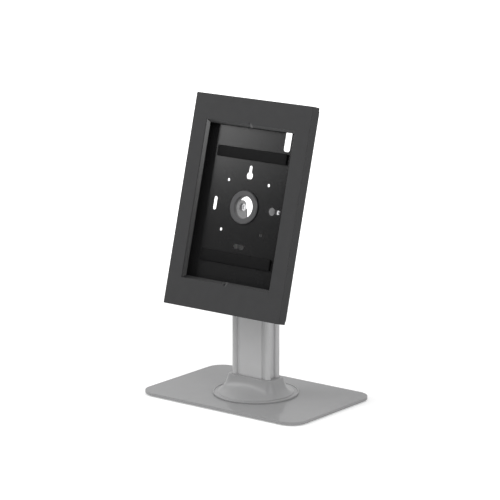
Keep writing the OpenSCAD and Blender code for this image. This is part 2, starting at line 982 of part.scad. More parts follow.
// Collar: leaning walls under a rounded rectangular neck, which flare out to a round foot
// Distance from the axis to the neck's outline in the direction a, after a trim of its walls
function neck_reach(a, trim) =
    let (corner = neck_corner_r - trim)
    let (x_mid = neck_w / 2 - neck_corner_r)
    let (y_mid = neck_d / 2 - neck_corner_r)
    let (c = abs(cos(a)))
    let (s = abs(sin(a)))
    let (along = x_mid * c + y_mid * s)
    (x_mid + corner) * s <= y_mid * c ? (x_mid + corner) / c :
    (y_mid + corner) * c <= x_mid * s ? (y_mid + corner) / s :
    along + sqrt(corner * corner - x_mid * x_mid - y_mid * y_mid + along * along);

// Direction of the step k, closer together towards the neck's corners
function collar_angle(k) = atan2(neck_d * sin(k * 360 / collar_steps), neck_w * cos(k * 360 / collar_steps));

function flare_reach(a, level, trim) =
    let (neck = neck_reach(a, trim - neck_draft * (1 - level)))
    neck + (flare_d / 2 - trim - neck) * pow(1 - level, flare_power);

// Level of a ring, closer together near the foot
function flare_level(k) = pow(k / collar_levels, flare_spacing);

function flare_ring(level, z, trim) = [
    for (k = [0 : collar_steps - 1])
        let (a = collar_angle(k))
        let (reach = flare_reach(a, level, trim))
        [reach * cos(a), reach * sin(a), z]];

module flare(low, foot, top, trim) {
    rings = collar_levels + 2;
    n = collar_steps;
    points = concat(
        flare_ring(0, low, trim),
        [for (k = [0 : collar_levels])
            each flare_ring(flare_level(k), foot + (top - foot) * flare_level(k), trim)],
        [[0, 0, low], [0, 0, top]]);
    sides = [
        for (ring = [0 : rings - 2], k = [0 : n - 1])
            let (here = ring * n + k)
            let (next = ring * n + (k + 1) % n)
            each [[here, here + n, next], [next, here + n, next + n]]];
    top_ring = (rings - 1) * n;
    caps = [
        for (k = [0 : n - 1])
            each [[k, (k + 1) % n, rings * n], [top_ring + (k + 1) % n, top_ring + k, rings * n + 1]]];
    polyhedron(points = points, faces = concat(sides, caps));
}

// The column's outline with a gap all round
module column_hole_2d(gap) {
    for (x = [-lobe_x, lobe_x], y = [-lobe_y, lobe_y])
        translate([x, y])
            circle(r = lobe_r + gap);
    square([2 * (web_out + gap), 2 * lobe_y], center = true);
    square([2 * lobe_x, panel_span + 2 * gap], center = true);
}

module collar() {
    color(pale_paint)
        difference() {
            union() {
                flare(base_top, flare_low, collar_top, 0);
                translate([0, 0, base_top]) {
                    cylinder(h = rim_t, d = rim_d - 2 * lip_r, $fn = 128);
                    rotate_extrude($fn = 128)
                        translate([rim_d / 2 - lip_r, lip_h - lip_r]) {
                            circle(r = lip_r, $fn = 24);
                            translate([-lip_r, lip_r - lip_h])
                                square([2 * lip_r, lip_h - lip_r]);
                        }
                }
            }
            flare(base_top - over, base_top, collar_top - collar_wall, collar_wall);
            translate([0, 0, base_top])
                linear_extrude(collar_h + over)
                    column_hole_2d(collar_gap);
            translate([-outlet_w / 2, neck_d / 2, base_top - over])
                cube([outlet_w, rim_d, outlet_h + over]);
        }
}

// Base
module at_column_screws() {
    for (x = [-lobe_x, lobe_x], y = [-lobe_y, lobe_y])
        translate([x, y, foot_t])
            children();
}

module base_plate() {
    color(pale_paint)
        difference() {
            translate([0, 0, foot_t])
                linear_extrude(base_t)
                    rounded_rect(base_w, base_d, base_corner_r);
            at_column_screws() {
                translate([0, 0, -over])
                    cylinder(h = base_t + 2 * over, d = base_screw_d + 2 * loose);
                cylinder(h = base_head_h + loose, d1 = base_head_d + 2 * loose, d2 = base_screw_d);
            }
        }
}

module base_screws() {
    color(steel)
        at_column_screws() {
            cylinder(h = base_head_h, d1 = base_head_d, d2 = base_screw_d);
            cylinder(h = base_screw_l, d = base_screw_d);
        }
}

module rubber_feet() {
    color(rubber)
        for (x = [-1, 1], y = [-1, 1])
            translate([x * (base_w / 2 - foot_inset), y * (base_d / 2 - foot_inset), 0])
                cylinder(h = foot_t, d = foot_d);
}

front_cover();
window_trim();
rear_tray();
back_pads();
edge_pads();
hinge_pins();
lock_barrel();
lock_nut();
lock_plug();
lock_cam();
cam_screw();
stop_stud();
hub_ring();
hub_washers();
hub_screws();
swivel_head();
pivot_bolts();
pivot_nuts();
pivot_washers();
pivot_bushes();
left_rail();
right_rail();
front_panel();
rear_panel();
top_bridge();
bridge_screws();
collar();
base_plate();
base_screws();
rubber_feet();
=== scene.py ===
import bmesh
import bpy
import numpy as np
from mathutils import Matrix, Vector


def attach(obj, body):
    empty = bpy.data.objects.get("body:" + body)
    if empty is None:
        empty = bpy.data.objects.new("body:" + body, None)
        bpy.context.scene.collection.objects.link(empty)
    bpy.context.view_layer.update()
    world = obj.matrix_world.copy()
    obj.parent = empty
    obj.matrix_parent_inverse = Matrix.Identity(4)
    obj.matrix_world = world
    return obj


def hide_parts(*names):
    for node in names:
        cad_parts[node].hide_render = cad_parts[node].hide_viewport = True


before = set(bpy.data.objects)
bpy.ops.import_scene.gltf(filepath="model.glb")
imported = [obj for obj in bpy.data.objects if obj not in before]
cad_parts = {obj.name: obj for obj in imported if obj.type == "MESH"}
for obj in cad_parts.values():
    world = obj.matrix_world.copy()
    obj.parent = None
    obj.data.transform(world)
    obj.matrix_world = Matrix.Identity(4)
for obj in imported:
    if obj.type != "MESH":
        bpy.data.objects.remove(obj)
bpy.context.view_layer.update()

print("stage: frame loaded,", len(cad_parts), "nodes")

# The enclosure leans back about the tilt axis; all sizes are in millimetres
head = {"leanDegrees": 15.0, "reach": 47.5, "pivotZ": 291.0}


# A point of the enclosure (right, back from its front face, up from its centre) is turned by the
# lean about the X axis and moved to the tilt axis, then scaled to metres
def enclosurePlace(right, back, up):
    lean = np.radians(head["leanDegrees"])
    y = (back - head["reach"]) * np.cos(lean) + up * np.sin(lean)
    z = head["pivotZ"] - (back - head["reach"]) * np.sin(lean) + up * np.cos(lean)
    return np.stack(np.broadcast_arrays(right, y, z), axis=-1) * 0.001


# Across and along a depth axis of the enclosure through (right, up)
def depthAxis(right, up):
    return lambda a, b, h: enclosurePlace(right + a, h, up + b)


# A horizontal pivot axis; side is 1 or -1 and mirrors the distance along it
def pivotAxis(side, height):
    return lambda a, b, h: np.stack(np.broadcast_arrays(side * h, a, height + b), axis=-1) * 0.001


# An upright axis through (x, y)
def uprightAxis(x, y):
    return lambda a, b, h: np.stack(np.broadcast_arrays(x + a, y + b, h), axis=-1) * 0.001


# Rows of points, all of one length and each a closed loop, are joined by quads. With closed=True the
# last row is joined to the first, as round a ring; otherwise each end row is filled by one flat face
def shellFromRows(rows, closed=False):
    rows = np.asarray(rows, float)
    count, around = rows.shape[:2]
    steps = count if closed else count - 1
    i = np.arange(steps)[:, None]
    j = np.arange(around)[None, :]
    here, there = i * around, (i + 1) % count * around
    after = (j + 1) % around
    quads = np.stack(np.broadcast_arrays(here + j, here + after, there + after, there + j), axis=-1)
    faces = quads.reshape(-1, 4).tolist()
    if not closed:
        faces.append(list(range(around))[::-1])
        faces.append(list(range((count - 1) * around, count * around)))
    return rows.reshape(-1, 3), faces


# Several shells become one list of points and faces, with each shell's faces counted on
def joinShells(shells):
    points, faces, start = [], [], 0
    for shellPoints, shellFaces in shells:
        points.append(shellPoints)
        faces += [[start + k for k in face] for face in shellFaces]
        start += len(shellPoints)
    return np.concatenate(points), faces


# Distance from the centre of a regular hexagon to its outline in each direction
def hexagonReach(angles, acrossFlats):
    sector = (angles + np.pi / 6) % (np.pi / 3) - np.pi / 6
    return acrossFlats / 2 / np.cos(sector)


# A profile of (radius, height) turned about an axis: at each angle the point stands at
# radius*cos(angle), radius*sin(angle), height. A radius may also be a function of the angles
def turned(profile, place, steps=64, closed=False):
    angles = np.arange(steps) * 2 * np.pi / steps
    rows = []
    for radius, height in profile:
        reach = radius(angles) if callable(radius) else np.full(steps, float(radius))
        rows.append(place(reach * np.cos(angles), reach * np.sin(angles), float(height)))
    return shellFromRows(rows, closed)


# A closed outline with its outward directions: each direction is the tangent turned a quarter turn
def outwardOf(outline):
    tangent = np.roll(outline, -1, axis=0) - np.roll(outline, 1, axis=0)
    tangent /= np.linalg.norm(tangent, axis=1, keepdims=True)
    return np.stack([tangent[:, 1], -tangent[:, 0]], axis=1)


# A flat outline carried from one height to another. Near each end it is drawn in along its outward
# directions by r - r*sin(t) while the height moves by r - r*cos(t), which rounds the edge
def carriedOutline(outline, low, high, r, place, steps=3):
    outward = outwardOf(outline)
    a = np.linspace(0, np.pi / 2, steps + 1)
    inset = np.concatenate([r - r * np.sin(a), (r - r * np.sin(a))[::-1]])
    height = np.concatenate([low + r - r * np.cos(a), (high - r + r * np.cos(a))[::-1]])
    rows = [place(outline[:, 0] - d * outward[:, 0], outline[:, 1] - d * outward[:, 1], h)
            for d, h in zip(inset, height)]
    return shellFromRows(rows)


# Rectangle with round corners, anticlockwise: four arcs of radius r about the corners' centres
def roundedRectangle(width, height, r, perCorner=10, centre=(0.0, 0.0)):
    arc = np.linspace(0, np.pi / 2, perCorner)
    parts = []
    for k, (sx, sy) in enumerate([(1, 1), (-1, 1), (-1, -1), (1, -1)]):
        t = arc + k * np.pi / 2
        parts.append(np.stack([centre[0] + sx * (width / 2 - r) + r * np.cos(t),
                               centre[1] + sy * (height / 2 - r) + r * np.sin(t)], axis=1))
    return np.concatenate(parts)


# Points and faces become a mesh whose faces point outwards. Edges sharper than the given angle stay
# sharp, and the large faces lead the shading
def finishPiece(name, shell, body, material, stands=(), sharpDegrees=38.0, evenShade=True):
    points, faces = shell
    mesh = bpy.data.meshes.new(name)
    mesh.from_pydata(points.tolist(), [], faces)
    work = bmesh.new()
    work.from_mesh(mesh)
    bmesh.ops.remove_doubles(work, verts=work.verts, dist=1e-6)
    bmesh.ops.recalc_face_normals(work, faces=work.faces)
    work.to_mesh(mesh)
    work.free()
    return dressPiece(name, mesh, body, material, stands, sharpDegrees, evenShade)


# A new piece gets its shading, finish and body, and the nodes that it stands for are hidden
def dressPiece(name, mesh, body, material, stands, sharpDegrees=38.0, evenShade=True):
    mesh.shade_smooth()
    mesh.set_sharp_from_angle(angle=np.radians(sharpDegrees))
    piece = bpy.data.objects.new(name, mesh)
    bpy.context.scene.collection.objects.link(piece)
    mesh.materials.append(material)
    if evenShade:
        even = piece.modifiers.new("evenShade", "WEIGHTED_NORMAL")
        even.keep_sharp = True
    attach(piece, body)
    if stands:
        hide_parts(*stands)
    return piece


# Width in millimetres of the broken edges on the nodes that keep their form
brokenEdge = {"rear_tray": 0.3, "lock_plug": 0.2, "swivel_head": 0.35, "stop_stud": 0.25, "left_rail": 0.3,
              "right_rail": 0.3, "front_panel": 0.25, "rear_panel": 0.25, "top_bridge": 0.25,
              "base_plate": 0.5}


# A copy of a CAD node whose triangles are merged into flat faces, with its sharp edges bevelled
def bevelledCopy(node, body, material, segments=2, limitDegrees=32.0):
    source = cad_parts[node]
    mesh = source.data.copy()
    mesh.name = node + "Finish"
    mesh.materials.clear()
    work = bmesh.new()
    work.from_mesh(mesh)
    bmesh.ops.remove_doubles(work, verts=work.verts, dist=2e-6)
    bmesh.ops.dissolve_limit(work, angle_limit=np.radians(0.6), verts=work.verts, edges=work.edges)
    work.to_mesh(mesh)
    work.free()
    piece = dressPiece(node + "Finish", mesh, body, material, (node,), evenShade=False)
    bevel = piece.modifiers.new("brokenEdge", "BEVEL")
    bevel.width = brokenEdge[node] * 0.001
    bevel.segments = segments
    bevel.limit_method = "ANGLE"
    bevel.angle_limit = np.radians(limitDegrees)
    piece.modifiers.new("evenShade", "WEIGHTED_NORMAL")


# Fine grain from noise on Object coordinates drives the bump, a slower noise moves the roughness and
# the colour a little about their written values
def coatFinish(name, look):
    material = bpy.data.materials.new(name)
    material.use_nodes = True
    nodes, links = material.node_tree.nodes, material.node_tree.links
    shader = nodes["Principled BSDF"]
    place = nodes.new("ShaderNodeTexCoord")

    grain = nodes.new("ShaderNodeTexNoise")
    grain.inputs["Scale"].default_value = 1.0 / (look["grainMm"] * 0.001)
    grain.inputs["Detail"].default_value = look.get("grainDetail", 2.0)
    grain.inputs["Roughness"].default_value = 0.55
    links.new(place.outputs["Object"], grain.inputs["Vector"])

    wave = nodes.new("ShaderNodeTexNoise")
    wave.inputs["Scale"].default_value = 1.0 / (look["waveMm"] * 0.001)
    wave.inputs["Detail"].default_value = 1.0
    links.new(place.outputs["Object"], wave.inputs["Vector"])

    fine = nodes.new("ShaderNodeBump")
    fine.inputs["Strength"].default_value = look["grainStrength"]
    fine.inputs["Distance"].default_value = look["grainDepthMm"] * 0.001
    links.new(grain.outputs["Fac"], fine.inputs["Height"])
    slow = nodes.new("ShaderNodeBump")
    slow.inputs["Strength"].default_value = look["waveStrength"]
    slow.inputs["Distance"].default_value = look["waveDepthMm"] * 0.001
    links.new(wave.outputs["Fac"], slow.inputs["Height"])
    links.new(fine.outputs["Normal"], slow.inputs["Normal"])
    links.new(slow.outputs["Normal"], shader.inputs["Normal"])

    rough = nodes.new("ShaderNodeMapRange")
    rough.inputs["From Min"].default_value = 0.3
    rough.inputs["From Max"].default_value = 0.7
    rough.inputs["To Min"].default_value = look["roughness"] - look["roughnessSpread"]
    rough.inputs["To Max"].default_value = look["roughness"] + look["roughnessSpread"]
    links.new(grain.outputs["Fac"], rough.inputs["Value"])
    links.new(rough.outputs["Result"], shader.inputs["Roughness"])

    tint = nodes.new("ShaderNodeValToRGB")
    spread = look["colourSpread"]
    tint.color_ramp.elements[0].position = 0.3
    tint.color_ramp.elements[1].position = 0.7
    tint.color_ramp.elements[0].color = [c * (1 - spread) for c in look["colour"]] + [1]
    tint.color_ramp.elements[1].color = [c * (1 + spread) for c in look["colour"]] + [1]
    mixed = nodes.new("ShaderNodeMath")
    mixed.operation = "MULTIPLY_ADD"
    mixed.inputs[1].default_value = 0.5
    links.new(grain.outputs["Fac"], mixed.inputs[0])
    halfWave = nodes.new("ShaderNodeMath")
    halfWave.operation = "MULTIPLY"
    halfWave.inputs[1].default_value = 0.5
    links.new(wave.outputs["Fac"], halfWave.inputs[0])
    links.new(halfWave.outputs["Value"], mixed.inputs[2])
    links.new(mixed.outputs["Value"], tint.inputs["Fac"])
    links.new(tint.outputs["Color"], shader.inputs["Base Color"])

    shader.inputs["Metallic"].default_value = look.get("metallic", 0.0)
    shader.inputs["IOR"].default_value = look.get("ior", 1.5)
    shader.inputs["Specular IOR Level"].default_value = look.get("specular", 0.5)
    shader.inputs["Coat Weight"].default_value = look.get("lacquer", 0.0)
    shader.inputs["Coat Roughness"].default_value = look.get("lacquerRoughness", 0.1)
    return material


finishes = {
    "coverCoat": {"colour": (0.0355, 0.0355, 0.0365), "roughness": 0.80, "roughnessSpread": 0.05,
                  "grainMm": 0.55, "grainDepthMm": 0.03, "grainStrength": 0.35,
                  "waveMm": 14.0, "waveDepthMm": 0.05, "waveStrength": 0.10,
                  "colourSpread": 0.06, "specular": 0.30},
    "trimCoat": {"colour": (0.012, 0.012, 0.0125), "roughness": 0.27, "roughnessSpread": 0.03,
                 "grainMm": 0.4, "grainDepthMm": 0.02, "grainStrength": 0.20,
                 "waveMm": 18.0, "waveDepthMm": 0.05, "waveStrength": 0.08, "colourSpread": 0.08,
                 "specular": 0.9},
    "trayCoat": {"colour": (0.011, 0.011, 0.0113), "roughness": 0.22, "roughnessSpread": 0.03,
                 "grainMm": 0.45, "grainDepthMm": 0.02, "grainStrength": 0.25,
                 "waveMm": 16.0, "waveDepthMm": 0.06, "waveStrength": 0.08, "colourSpread": 0.10,
                 "specular": 0.38},
    "hubCoat": {"colour": (0.050, 0.050, 0.052), "roughness": 0.42, "roughnessSpread": 0.04,
                "grainMm": 0.35, "grainDepthMm": 0.015, "grainStrength": 0.20,
                "waveMm": 9.0, "waveDepthMm": 0.03, "waveStrength": 0.08, "colourSpread": 0.05},
    "paleCoat": {"colour": (0.275, 0.275, 0.278), "roughness": 0.55, "roughnessSpread": 0.04,
                 "grainMm": 0.40, "grainDepthMm": 0.015, "grainStrength": 0.22,
                 "waveMm": 20.0, "waveDepthMm": 0.05, "waveStrength": 0.06, "colourSpread": 0.025,
                 "specular": 0.1, "lacquer": 0.35, "lacquerRoughness": 0.07},
    # Column: the pale coat made lighter, the extra lightness painted light against the enclosure's shade
    "columnCoatPaintedLight": {"colour": (0.47, 0.47, 0.473), "roughness": 0.50, "roughnessSpread": 0.04,
                   "grainMm": 0.35, "grainDepthMm": 0.012, "grainStrength": 0.20,
                   "waveMm": 16.0, "waveDepthMm": 0.04, "waveStrength": 0.06, "colourSpread": 0.025,
                   "specular": 0.2, "lacquer": 0.35, "lacquerRoughness": 0.07},
    "collarMoulding": {"colour": (0.285, 0.285, 0.288), "roughness": 0.50, "roughnessSpread": 0.03,
                       "grainMm": 0.50, "grainDepthMm": 0.012, "grainStrength": 0.15,
                       "waveMm": 24.0, "waveDepthMm": 0.08, "waveStrength": 0.08, "colourSpread": 0.02,
                       "specular": 0.1, "lacquer": 0.9, "lacquerRoughness": 0.42},
    "zincSteel": {"colour": (0.56, 0.56, 0.57), "roughness": 0.30, "roughnessSpread": 0.06,
                  "grainMm": 0.25, "grainDepthMm": 0.01, "grainStrength": 0.25,
                  "waveMm": 5.0, "waveDepthMm": 0.02, "waveStrength": 0.10,
                  "colourSpread": 0.08, "metallic": 1.0},
    "nylonFinish": {"colour": (0.70, 0.69, 0.66), "roughness": 0.42, "roughnessSpread": 0.04,
                    "grainMm": 0.30, "grainDepthMm": 0.01, "grainStrength": 0.20,
                    "waveMm": 6.0, "waveDepthMm": 0.02, "waveStrength": 0.10, "colourSpread": 0.03},
    "rubberFinish": {"colour": (0.014, 0.014, 0.014), "roughness": 0.72, "roughnessSpread": 0.06,
                     "grainMm": 0.35, "grainDepthMm": 0.03, "grainStrength": 0.40,
                     "waveMm": 6.0, "waveDepthMm": 0.04, "waveStrength": 0.15, "colourSpread": 0.15},
    "foamFinish": {"colour": (0.004, 0.004, 0.0042), "roughness": 0.60, "roughnessSpread": 0.10,
                   "grainMm": 0.60, "grainDepthMm": 0.12, "grainStrength": 0.60, "grainDetail": 4.0,
                   "waveMm": 9.0, "waveDepthMm": 0.12, "waveStrength": 0.25, "colourSpread": 0.25,
                   "specular": 0.1},
}
made = {name: coatFinish(name, look) for name, look in finishes.items()}
print("stage: finishes made,", len(made))


cover = {"width": 218.5, "height": 322.0, "depth": 16.0, "sheet": 1.5, "cornerR": 1.5, "bendR": 1.5,
         "sideBorder": 26.5, "upperBorder": 38.65, "lowerBorder": 42.85, "notchR": 2.5, "edgeR": 0.3,
         "catchWidth": 24.0, "catchThick": 1.5, "catchFront": 8.0, "catchLow": 149.0}
windowHalfW = cover["width"] / 2 - cover["sideBorder"]
windowHalfH = (cover["height"] - cover["upperBorder"] - cover["lowerBorder"]) / 2
windowRise = (cover["lowerBorder"] - cover["upperBorder"]) / 2


# One loop round the cover: a rectangle with round corners at one depth. In the middle of its upper and
# lower edge a half circle of the notch's radius is added, times the share given
def frameLoop(halfW, halfH, cornerR, depth, rise=0.0, notchShare=0.0, perCorner=7, perSide=9):
    r = cover["notchR"]
    halfCircle = np.linspace(0, np.pi, 17)
    flank = np.linspace(-(halfW - cornerR), -r, 8)[:-1]
    x = np.concatenate([flank, -r * np.cos(halfCircle), -flank[::-1]])
    lift = np.concatenate([flank * 0, notchShare * r * np.sin(halfCircle), flank * 0])
    y = np.linspace(-(halfH - cornerR), halfH - cornerR, perSide)
    arc = np.linspace(0, np.pi / 2, perCorner)[1:-1]

    def corner(sx, sy, start):
        return np.stack([sx * (halfW - cornerR) + cornerR * np.cos(start + arc),
                         sy * (halfH - cornerR) + cornerR * np.sin(start + arc)], axis=1)

    loop = np.concatenate([
        np.stack([x, -halfH - lift], axis=1), corner(1, -1, -np.pi / 2),
        np.stack([np.full(perSide, halfW), y], axis=1), corner(1, 1, 0),
        np.stack([-x, halfH + lift], axis=1), corner(-1, 1, np.pi / 2),
        np.stack([np.full(perSide, -halfW), -y], axis=1), corner(-1, -1, np.pi)])
    return enclosurePlace(loop[:, 0], depth, loop[:, 1] + rise)


# The cover's section runs from the window's edge over the face, round the bend, back along the side
# wall, over its rim and forward again inside, and each of its points is one loop
def coverShell():
    halfW, halfH, bend, e = cover["width"] / 2, cover["height"] / 2, cover["bendR"], cover["edgeR"]
    sheet, depth = cover["sheet"], cover["depth"]
    a = np.linspace(0, np.pi / 2, 7)
    rows = [frameLoop(windowHalfW + e, windowHalfH + e, 0.5, sheet, windowRise, 1.0),
            frameLoop(windowHalfW, windowHalfH, 0.3, sheet - e, windowRise, 1.0),
            frameLoop(windowHalfW, windowHalfH, 0.3, e, windowRise, 1.0),
            frameLoop(windowHalfW + 0.3 * e, windowHalfH + 0.3 * e, 0.4, 0.3 * e, windowRise, 1.0),
            frameLoop(windowHalfW + e, windowHalfH + e, 0.5, 0, windowRise, 1.0)]
    for t in a:
        inset = bend - bend * np.sin(t)
        rows.append(frameLoop(halfW - inset, halfH - inset, max(cover["cornerR"] - inset, 0.06),
                              bend - bend * np.cos(t)))
    rows += [frameLoop(halfW, halfH, cover["cornerR"], depth - e),
             frameLoop(halfW - 0.3 * e, halfH - 0.3 * e, cover["cornerR"] - 0.3 * e, depth - 0.3 * e),
             frameLoop(halfW - e, halfH - e, cover["cornerR"] - e, depth),
             frameLoop(halfW - sheet + e, halfH - sheet + e, 0.5, depth),
             frameLoop(halfW - sheet, halfH - sheet, 0.3, depth - e),
             frameLoop(halfW - sheet, halfH - sheet, 0.3, sheet + 0.4),
             frameLoop(halfW - sheet - 0.4, halfH - sheet - 0.4, 0.2, sheet)]
    return shellFromRows(rows, closed=True)


# Catch: a flat tongue, its outline a rectangle with round corners, which ends in the upper wall
def catchShell():
    low, high = cover["catchLow"], cover["height"] / 2 - cover["sheet"] / 2
    outline = roundedRectangle(cover["catchWidth"], high - low, 1.2, 6, (0.0, (low + high) / 2))
    return carriedOutline(outline, cover["catchFront"], cover["catchFront"] + cover["catchThick"], 0.3,
                          depthAxis(0, 0))


hinge = {"offset": 60.0, "depth": 19.4, "rise": -157.9, "knuckleR": 2.8, "knuckleLong": 12.0,
         "boreD": 3.1, "pinD": 3.0, "pinLong": 28.8, "strapThick": 1.2, "strapFrom": 14.5}


# Cylinder along X with rounded ends and a bore, in the enclosure's frame
def knuckleShell(centreX, e=0.3):
    place = lambda a, b, h: enclosurePlace(centreX + h, hinge["depth"] + a, hinge["rise"] + b)
    half, r, bore = hinge["knuckleLong"] / 2, hinge["knuckleR"], hinge["boreD"] / 2
    profile = [(bore, -half), (r - e, -half), (r - 0.3 * e, -half + 0.3 * e), (r, -half + e),
               (r, half - e), (r - 0.3 * e, half - 0.3 * e), (r - e, half), (bore, half)]
    return turned(profile, place, 40, closed=True)


# Strap: a flat strip under a knuckle, which joins it to the cover's lower wall
def strapShell(centreX):
    low = hinge["rise"] - hinge["knuckleR"]
    outline = roundedRectangle(hinge["knuckleLong"], hinge["depth"] - hinge["strapFrom"], 0.5, 4,
                               (centreX, (hinge["depth"] + hinge["strapFrom"]) / 2))
    return carriedOutline(outline, low, low + hinge["strapThick"], 0.2, enclosurePlace, 2)


coverShells = [coverShell(), catchShell()]
for side in (-1, 1):
    coverShells.append(knuckleShell(side * hinge["offset"]))
    coverShells.append(strapShell(side * hinge["offset"]))
finishPiece("foldedCover", joinShells(coverShells), "cover", made["coverCoat"], ("front_cover",))

pinR, pinEnd = hinge["pinD"] / 2, hinge["pinLong"] / 2
pinProfile = [(pinR - 0.6, -pinEnd), (pinR, -pinEnd + 0.5), (pinR, pinEnd - 0.5), (pinR - 0.6, pinEnd)]
pins = []
for side in (-1, 1):
    place = lambda a, b, h, s=side: enclosurePlace(s * hinge["offset"] + h, hinge["depth"] + a,
                                                   hinge["rise"] + b)
    pins.append(turned(pinProfile, place, 32))
finishPiece("hingePins", joinShells(pins), "tray", made["zincSteel"], ("hinge_pins",))


trim = {"land": 8.0, "deep": 5.6, "inset": 4.1, "bevelDeep": 4.2, "edgeR": 0.25}


# The trim's section: outer face, back face, inner lip and the bevel that meets the window's edge
def trimShell():
    front, e = cover["sheet"], trim["edgeR"]
    back = front + trim["deep"]
    outW, outH = windowHalfW + trim["land"], windowHalfH + trim["land"]
    inW, inH = windowHalfW - trim["inset"], windowHalfH - trim["inset"]
    bevelEnd = front + trim["bevelDeep"]
    scoop = lambda depth: max(0.0, 1 - (depth - front) / trim["bevelDeep"])
    rows = [frameLoop(outW - e, outH - e, 1.5, front, windowRise),
            frameLoop(outW, outH, 1.5, front + e, windowRise),
            frameLoop(outW, outH, 1.5, back - e, windowRise),
            frameLoop(outW - e, outH - e, 1.5, back, windowRise),
            frameLoop(inW + e, inH + e, 0.5, back, windowRise),
            frameLoop(inW, inH, 0.4, back - e, windowRise),
            frameLoop(inW, inH, 0.4, bevelEnd + 0.15, windowRise)]
    for share in np.linspace(0.03, 1.0, 9):
        depth = bevelEnd + share * (front - bevelEnd)
        rows.append(frameLoop(inW + share * trim["inset"], inH + share * trim["inset"], 0.4, depth,
                              windowRise, scoop(depth)))
    return shellFromRows(rows, closed=True)


finishPiece("windowTrim", trimShell(), "cover", made["trimCoat"], ("window_trim",))
print("stage: cover and trim made")


foam = {"stripLong": 130.0, "stripWide": 16.5, "stripThick": 3.5, "stripRise": 79.0, "plateFront": 18.4,
        "blockThick": 10.0, "blockLong": 40.0, "sideIn": 88.4, "sideOut": 104.95, "endIn": 126.65,
        "endTop": 156.7, "endLow": -154.7, "blockRise": 75.0, "blockSide": 50.0,
        "edgeR": 1.1, "crown": 0.35}


# Foam piece: its outline shrinks towards its middle line while its front face rises to a low crown,
# crown * (1 - (1 - inset / half width) squared), and the edge is a quarter circle
def foamShell(x0, x1, y0, y1, thick):
    width, height, r = x1 - x0, y1 - y0, foam["edgeR"]
    centre = ((x0 + x1) / 2, (y0 + y1) / 2)
    half = min(width, height) / 2
    back = foam["plateFront"]
    a = np.linspace(0, np.pi / 2, 5)
    rows = [(0.25, back), (0.0, back - 0.25)]
    rows += [(r - r * np.cos(t), back - thick + foam["crown"] + r - r * np.sin(t)) for t in a]
    inner = np.linspace(r, half - 0.3, 7)[1:]
    for inset in inner:
        share = (inset - r) / (half - r)
        rows.append((inset, back - thick + foam["crown"] * (1 - share) ** 2))
    loops = []
    for inset, depth in rows:
        corner = max(1.6 - inset, 0.12)
        outline = roundedRectangle(width - 2 * inset, height - 2 * inset, corner, 6, centre)
        loops.append(enclosurePlace(outline[:, 0], depth, outline[:, 1]))
    return shellFromRows(loops)


strips = []
for s in (-1, 1):
    middle = s * foam["stripRise"]
    strips.append(foamShell(-foam["stripLong"] / 2, foam["stripLong"] / 2, middle - foam["stripWide"] / 2,
                            middle + foam["stripWide"] / 2, foam["stripThick"]))
backFoam = finishPiece("backFoamStrips", joinShells(strips), "tray", made["foamFinish"],
                       ("back_pads",))

blocks = []
for s in (-1, 1):
    side = sorted([s * foam["sideIn"], s * foam["sideOut"]])
    for t in (-1, 1):
        middle = windowRise + t * foam["blockRise"]
        blocks.append(foamShell(side[0], side[1], middle - foam["blockLong"] / 2,
                                middle + foam["blockLong"] / 2, foam["blockThick"]))
    left = s * foam["blockSide"] - foam["blockLong"] / 2
    blocks.append(foamShell(left, left + foam["blockLong"], windowRise + foam["endIn"], foam["endTop"],
                            foam["blockThick"]))
    blocks.append(foamShell(left, left + foam["blockLong"], foam["endLow"], windowRise - foam["endIn"],
                            foam["blockThick"]))
edgeFoam = finishPiece("edgeFoamBlocks", joinShells(blocks), "tray", made["foamFinish"],
                       ("edge_pads",))
print("stage: foam made")


bevelledCopy("rear_tray", "tray", made["trayCoat"])


lock = {"rise": 140.0, "barrelD": 16.0, "boreD": 11.1, "front": 9.0, "plateBack": 20.4, "back": 22.4,
        "flangeD": 19.0, "nutWide": 20.0, "nutFront": 15.4, "nutBack": 18.4, "nutBoreD": 16.1,
        "camFront": 5.5, "camThick": 2.0, "camWide": 10.0, "camReach": 17.0,
        "screwD": 5.0, "headD": 8.5, "headThick": 2.0, "screwLong": 11.0, "socket": 4.0, "socketDeep": 1.4}
lockAxis = depthAxis(0, lock["rise"])


# Barrel with its flange and bore; the thread's rings are a small wave of the radius along the depth
def barrelShell():
    r, bore = lock["barrelD"] / 2, lock["boreD"] / 2
    depths = np.arange(lock["front"] + 0.5, lock["plateBack"] - 0.2, 0.25)
    thread = [(r - 0.22 + 0.2 * np.cos((d - lock["front"]) * 2 * np.pi), d) for d in depths]
    rim = lock["flangeD"] / 2
    profile = [(bore, lock["front"]), (r - 0.8, lock["front"])] + thread
    profile += [(r - 0.1, lock["plateBack"]), (rim, lock["plateBack"]), (rim, lock["back"] - 0.9),
                (rim - 0.25, lock["back"] - 0.35), (rim - 0.8, lock["back"]), (bore + 0.4, lock["back"]),
                (bore, lock["back"] - 0.4)]
    return turned(profile, lockAxis, 72, closed=True)


# Nut: a hexagon whose corners are cut by a cone at both faces
def nutShell(place, wide, low, high, bore, chamfer=0.5):
    inscribed = wide / 2 + 0.15
    face = lambda a: np.minimum(hexagonReach(a, wide), inscribed)
    full = lambda a: hexagonReach(a, wide)
    profile = [(bore, low), (bore + 0.3, low), (face, low), (full, low + chamfer), (full, high - chamfer),
               (face, high), (bore + 0.3, high), (bore, high)]
    return turned(profile, place, 72, closed=True)


# Stadium outline: a straight bar with a half circle at each end
def barOutline(x0, x1, wide):
    arc = np.linspace(-np.pi / 2, np.pi / 2, 19)
    right = np.stack([x1 - wide / 2 + wide / 2 * np.cos(arc), wide / 2 * np.sin(arc)], axis=1)
    left = np.stack([x0 + wide / 2 - wide / 2 * np.cos(arc), -wide / 2 * np.sin(arc)], axis=1)
    return np.concatenate([right, left])


